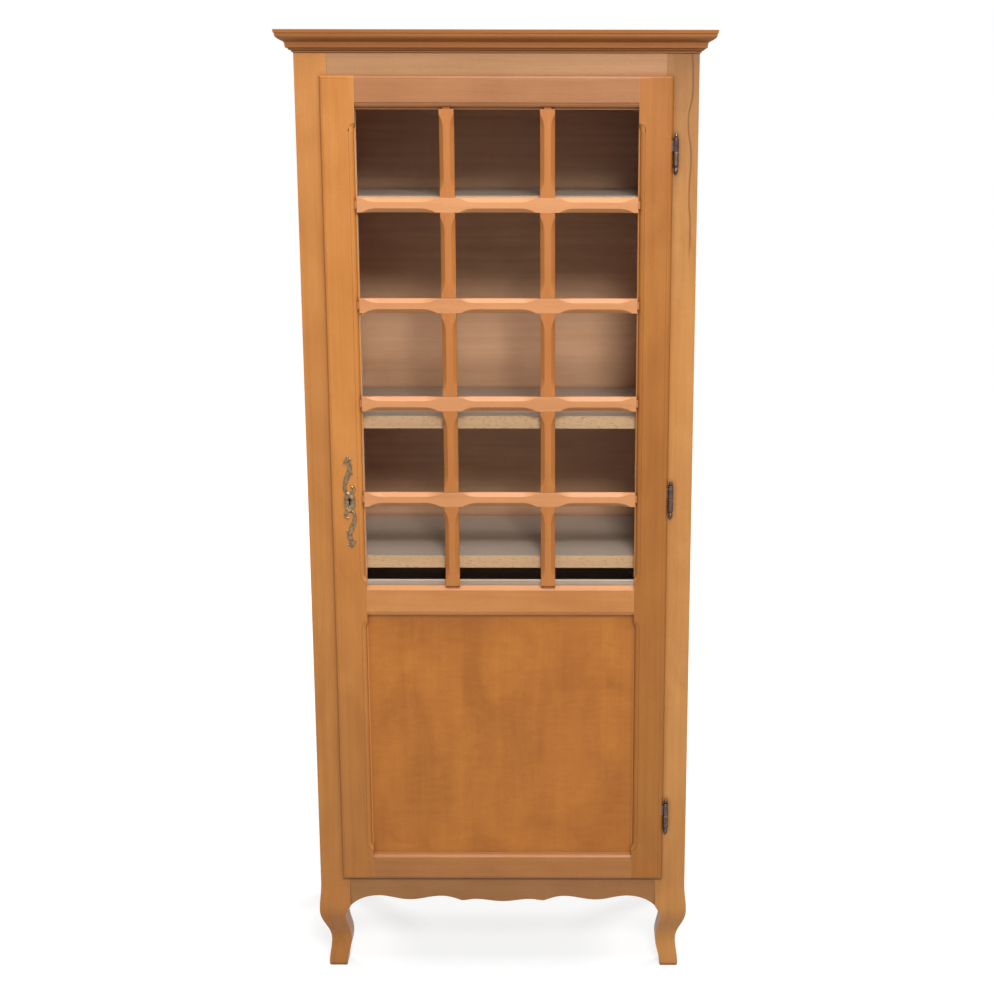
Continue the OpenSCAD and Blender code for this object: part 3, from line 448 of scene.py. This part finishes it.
# Side frames. On each side three rails of the same wood as the posts are tenoned between a front and
# a rear post, and hold two thin figured panels in their grooves. A plain board closes the top.
side_tone = tint(192, 130, 68)
for side, seed in (("left", 7), ("right", 8)):
    level = wood(side + "_side_rail_wood", "Y", seed, side_tone)
    for piece in ("_top_rail", "_middle_rail", "_apron"):
        dress(side + piece, level)
    for panel, shift in (("_upper_panel", 2), ("_lower_panel", 4)):
        dress(side + panel, wood(side + panel + "_wood", "Z", seed + shift, side_tone, figure=0.7,
                                 flame=0.2))
    dress("rear_" + side + "_post", wood("rear_" + side + "_post_wood", "Z", seed + 6, side_tone))
dress("top_board", wood("top_board_wood", "X", 21, side_tone))


# Inside and back. Plain beech that was only sealed: shelves with pale front edges, their cleats, the
# bottom board, and a back panel between two rails.
shelf_tone = tint(216, 174, 134)
for name, seed in (("upper_shelf", 22), ("middle_shelf", 23), ("lower_shelf", 24),
                   ("bottom_board", 25)):
    dress(name, wood(name + "_beech", "X", seed, shelf_tone, figure=0.25, fleck=0.5, paler_tops=0.75,
                     coat=0.0, corner_dirt_and_shade=0.3, rub=0.0))
dress("shelf_cleats", wood("cleat_beech", "Y", 26, shelf_tone, coat=0.0))
dress("back_panel", wood("back_panel_wood", "X", 27, tint(212, 164, 128), figure=0.4, coat=0.0,
                         rub=0.0))
for name, seed in (("rear_top_rail", 28), ("rear_bottom_rail", 29)):
    dress(name, wood(name + "_wood", "X", seed, shelf_tone, coat=0.0))


# Door frame. Two long stiles and three rails, tenoned together, with a thumb moulding outside and a
# stopped ovolo inside. Each board was chosen and stained by itself, so they differ in tone.
sight_x = 0.264
door_y = -0.1815
mould_w = 0.0125
mould_depth = 0.0105
mould_flats = 0.004
quirk = 0.0015
tongue_top = 1.7238
tongue_length = 0.016
tongue_steps = 12
tongue_seat = 0.0003


def ovolo_section():
    """The stiles' moulding beside the glass, from the face inwards: [from the sight edge, depth]."""
    radius = mould_w - mould_flats
    section = [(mould_w, 0.0), (mould_w, quirk)]
    for degrees in range(0, 91, 10):
        angle = math.radians(degrees)
        section.append((mould_w - quirk - radius * math.sin(angle),
                        quirk + radius * (1 - math.cos(angle))))
    return section + [(mould_w - quirk - radius, mould_depth)]


# Painted shade on both stiles: each darker towards its bottom.
dress("door_left_stile", wood("left_stile_wood", "Z", 31, tint(201, 132, 62),
                              height_shade=(0.2, 1.1, 0.76, 1.0)))
dress("door_right_stile", wood("right_stile_wood", "Z", 32, tint(177, 112, 46),
                               height_shade=(0.2, 1.7, 0.87, 0.95)))
for side, mirror in (("left", -1), ("right", 1)):
    shape = bmesh.new()
    rings = []
    for step in range(tongue_steps + 1):
        share = step / tongue_steps
        shift = mould_w * (1 - math.sqrt(1 - share * share))
        section = ovolo_section()
        under = [(x + tongue_seat, y + tongue_seat) for x, y in section]
        over = [(max(x - shift, 0.0), y) for x, y in section]
        z = tongue_top - tongue_length * (1 - share)
        rings.append([shape.verts.new((mirror * (sight_x + x), door_y + y, z))
                      for x, y in under + over[::-1]])
    for ring, after in zip(rings, rings[1:]):
        for k in range(len(ring)):
            m = (k + 1) % len(ring)
            shape.faces.new((ring[k], ring[m], after[m], after[k]))
    shape.faces.new(rings[0])
    shape.faces.new(rings[-1][::-1])
    bmesh.ops.recalc_face_normals(shape, faces=shape.faces)
    mesh = bpy.data.meshes.new(side + "_stile_tongue")
    shape.to_mesh(mesh)
    shape.free()
    tongue = bpy.data.objects.new(side + "_stile_tongue", mesh)
    scene.collection.objects.link(tongue)
    tongue.data.materials.append(nodes["door_" + side + "_stile"].data.materials[0])
    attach(tongue, "door")
dress("door_top_rail", wood("door_top_rail_wood", "X", 33, tint(166, 111, 66)))
dress("door_middle_rail", wood("door_middle_rail_wood", "X", 34, tint(200, 135, 74)))
dress("door_bottom_rail", wood("door_bottom_rail_wood", "X", 35, tint(176, 118, 63)))


# Door panel. A thin figured board, its grain upright, with the soft flames of wood cut near the
# crotch. It lies loose in the grooves of the frame, so that it can swell and shrink.
dress("door_panel", wood("door_panel_wood", "Z", 36, tint(184, 114, 43), figure=0.85, streak=0.14,
                         ring_depth=0.08, flame=0.3))


# Glazing bars and beads. Two upright and four level bars are halved into each other and tenoned into
# the frame, and their chamfers stop short of each crossing. Four pale beads hold the glass behind them.
bar_edge = 0.0005
for name, seed in (("upright_bar_left", 41), ("upright_bar_right", 42)):
    dress(name, wood(name + "_wood", "Z", seed, tint(188, 119, 58), figure=0.3), bar_edge)
for name, seed in (("level_bar_1", 44), ("level_bar_2", 45), ("level_bar_3", 46), ("level_bar_4", 47)):
    dress(name, wood(name + "_wood", "X", seed, tint(212, 148, 96), figure=0.3), bar_edge)
bead = wood("bead_beech", "X", 51, tint(246, 230, 216), coat=0.0)
for name in ("bead_top", "bead_bottom", "bead_left", "bead_right"):
    dress(name, bead, bar_edge)


# Glass. One sheet of thin drawn glass, with the faint waviness of its age. It lies in the rebate
# behind the bars and lets nearly all light through.
def window_glass():
    """Clear glass that shows what is behind it, and that lamps shine through without a dark shadow."""
    material = bpy.data.materials.new("drawn_glass")
    material.use_nodes = True
    tree = material.node_tree
    tree.nodes.clear()
    place = shader_node(tree, "TexCoord").outputs["Object"]
    wave = stretched_noise(tree, place, (9, 9, 4), 1)
    bump = shader_node(tree, "Bump", {"Strength": 0.04, "Distance": 0.002, "Height": wave})
    pane = shader_node(tree, "BsdfPrincipled", {"Base Color": (0.97, 0.99, 0.98, 1),
                                                "Roughness": 0.02, "Transmission Weight": 1.0,
                                                "IOR": 1.08, "Normal": bump.outputs[0]})
    clear = shader_node(tree, "BsdfTransparent", {"Color": (0.93, 0.95, 0.94, 1)})
    path = shader_node(tree, "LightPath")
    passing = calc(tree, "MAXIMUM", path.outputs["Is Shadow Ray"], path.outputs["Is Diffuse Ray"])
    both = shader_node(tree, "MixShader", {0: passing, 1: pane.outputs[0], 2: clear.outputs[0]})
    shader_node(tree, "OutputMaterial", {"Surface": both.outputs[0]})
    return material


dress("glass_pane", window_glass(), 0)


# Hinges. Three turned fiche hinges in darkened bronze. Their halves meet round one pin, and each is
# held by a leaf in a mortise, so only the barrel and its finials show.
# Edges brighten towards this tone, as rubbed wear and a painted highlight; corners darken by this shift,
# as grime and painted shade.
rubbed_highlight_tone = tint(196, 178, 146) + [1]
grime_and_shade_shift = (0.3, 0.28, 0.3)


def old_metal(name, bright, dark, polish):
    """Metal with a stained skin, corners darkened as grime and painted shade, and edges brightened as
    rubbed wear and a painted highlight. polish is its least roughness.
    """
    material = bpy.data.materials.new(name)
    material.use_nodes = True
    tree = material.node_tree
    tree.nodes.clear()
    place = shader_node(tree, "TexCoord").outputs["Object"]
    stain = stretched_noise(tree, place, (160, 160, 160), 4)
    fine = stretched_noise(tree, place, (900, 900, 900), 2)
    shade_and_wear = shader_node(tree, "Group", {"Corner Reach": 0.003, "Edge Reach": 0.0012},
                        node_tree=corner_shade_and_edge_wear)
    colour = blend(tree, stain, dark + [1], bright + [1])
    # Painted shade together with grime: corners darkened.
    colour = blend(tree, shade_and_wear.outputs["Corner"], colour, shifted(dark, grime_and_shade_shift))
    # Rubbed wear together with a painted highlight: edges brightened towards a pale tone.
    worn = blend(tree, calc(tree, "MULTIPLY", shade_and_wear.outputs["Edge"], 0.6), colour, rubbed_highlight_tone)
    rough = calc(tree, "ADD", polish, calc(tree, "MULTIPLY", stain, 0.15))
    bump = shader_node(tree, "Bump", {"Strength": 0.2, "Distance": 0.0003, "Height": fine})
    skin = shader_node(tree, "BsdfPrincipled", {"Base Color": worn, "Roughness": rough,
                                                "Metallic": 1.0, "Normal": bump.outputs[0]})
    shader_node(tree, "OutputMaterial", {"Surface": skin.outputs[0]})
    return material


bronze = old_metal("hinge_bronze", tint(110, 94, 86), tint(66, 54, 54), 0.28)
for name in ("hinge_post_halves", "hinge_door_halves"):
    dress(name, bronze, 0)


# Escutcheon. One rococo casting in brass gone brown: a domed cartouche with a raised rim round the
# keyhole, and two scrolled arms, one the other turned about, that end in a leaf and a spur.
middle_x = -0.2925
middle_z = 1.001
mm = 0.001
scroll = ((-1.5, 92, 0.6), (-2.5, 86, 4), (-1.2, 79, 4.6), (1.2, 71, 5), (1.4, 63, 5), (-1.6, 55, 5.3),
          (-5, 47, 5), (-8.0, 38, 4.2), (-9.4, 29, 3.4), (-7.4, 20.5, 3.2), (-1, 16.8, 3.2),
          (5.6, 18.6, 3.2), (8.8, 24.5, 3), (7, 30, 2.6), (2.5, 31, 2.4))
leaf = ((-1, 86, 2), (-5, 83, 2.6), (-8.5, 79, 2), (-10.8, 74, 0.5))
spur = ((-2, 86, 1.8), (1.5, 86.4, 1.8), (4.6, 85.4, 1.5), (7.6, 83.8, 0.5))
thorn = ((2, 60, 2.5), (5.5, 57, 1.8), (8.8, 54, 0.4))


def smooth_line(points, steps):
    """A smooth line through the points, as Vectors of x, z and half width."""
    points = [Vector(point) for point in points]
    line = []
    last = len(points) - 1
    for i in range(last):
        before, a, b, after = points[max(i - 1, 0)], points[i], points[i + 1], points[min(i + 2, last)]
        for step in range(steps):
            t = step / steps
            line.append(0.5 * (2 * a + (b - before) * t + (2 * before - 5 * a + 4 * b - after) * t * t
                               + (3 * a - before - 3 * b + after) * t ** 3))
    return line + [points[-1]]


def on_door(shape, x, height, z):
    """A corner of the casting, in millimetres from its middle and above the door's face."""
    return shape.verts.new((middle_x + x * mm, door_y - height * mm, middle_z + z * mm))


def rounded_arm(shape, points, rise, turn, steps=6, sides=8):
    """A strip along the points with a half-round back, closed underneath and at its ends."""
    line = smooth_line(points, steps)
    rings = []
    for i, spot in enumerate(line):
        ahead = line[min(i + 1, len(line) - 1)] - line[max(i - 1, 0)]
        across = Vector((-ahead[1], ahead[0])).normalized()
        ring = []
        for k in range(sides + 1):
            angle = math.pi * k / sides
            width = spot[2] * math.cos(angle)
            x = (spot[0] + across[0] * width) * turn
            z = (spot[1] + across[1] * width) * turn
            height = min(rise, spot[2]) * math.sin(angle) ** 0.8
            ring.append(on_door(shape, x, height, z))
        rings.append(ring)
    for ring, after in zip(rings, rings[1:]):
        for k in range(sides + 1):
            m = (k + 1) % (sides + 1)
            shape.faces.new((ring[k], ring[m], after[m], after[k]))
    shape.faces.new(rings[0])
    shape.faces.new(rings[-1][::-1])


cartouche_w = 12.5
cartouche_h = 18.5
waist = 0.12
key_up = 5.0
key_r = 4.0
slot_half = 1.6
slot_drop = 12.0
key_turns = 72
profile = ((0.0, 0.0), (0.02, 1.5), (0.10, 2.3), (0.20, 2.2), (0.26, 1.4), (0.40, 1.9),
           (0.70, 2.4), (0.92, 2.2), (1.0, 1.8), (1.0, 0.0))


def keyhole_at(angle):
    """How far the keyhole's edge is from the middle of its round part, towards this angle."""
    down = -math.sin(angle)
    if down < 0.1:
        return key_r
    side = slot_half / max(abs(math.cos(angle)), 0.01)
    return max(key_r, min(side, slot_drop / down))


def cartouche(shape):
    """The domed middle of the casting, its profile swept from the outline in to the keyhole."""
    rings = []
    for share, height in profile:
        ring = []
        for k in range(key_turns):
            angle = 2 * math.pi * k / key_turns
            outer_x = cartouche_w * math.cos(angle) * (1 - waist * math.cos(2 * angle) ** 2)
            outer_z = cartouche_h * math.sin(angle)
            reach = keyhole_at(angle)
            x = outer_x + (reach * math.cos(angle) - outer_x) * share
            z = outer_z + (key_up + reach * math.sin(angle) - outer_z) * share
            ring.append(on_door(shape, x, height, z))
        rings.append(ring)
    for ring, after in zip(rings, rings[1:] + rings[:1]):
        for k in range(key_turns):
            m = (k + 1) % key_turns
            shape.faces.new((ring[k], ring[m], after[m], after[k]))


shape = bmesh.new()
for turn in (1, -1):
    for points, rise in ((scroll, 2.4), (leaf, 2.0), (spur, 1.9), (thorn, 2.0)):
        rounded_arm(shape, points, rise, turn)
cartouche(shape)
bmesh.ops.recalc_face_normals(shape, faces=shape.faces)
mesh = bpy.data.meshes.new("escutcheon_casting")
shape.to_mesh(mesh)
shape.free()
casting = bpy.data.objects.new("escutcheon_casting", mesh)
scene.collection.objects.link(casting)
union = casting.modifiers.new("union", "REMESH")
union.mode = "VOXEL"
union.voxel_size = 0.0003
union.use_smooth_shade = True
soften = casting.modifiers.new("soften", "SMOOTH")
soften.factor = 0.5
soften.iterations = 2
brass = old_metal("brown_brass", tint(158, 134, 98), tint(104, 84, 68), 0.26)
casting.data.materials.append(brass)
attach(casting, "door")
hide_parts("escutcheon")


# Lock. A steel rim lock behind the door's left stile, with a square bolt that a key throws. The
# strike plate, in dark bronze, is let into the left post round the pocket that takes the bolt.
dress("strike_plate", bronze, 0)
steel = old_metal("lock_steel", tint(160, 160, 158), tint(110, 108, 104), 0.35)
for name in ("lock_case", "lock_bolt"):
    dress(name, steel, 0.0003)
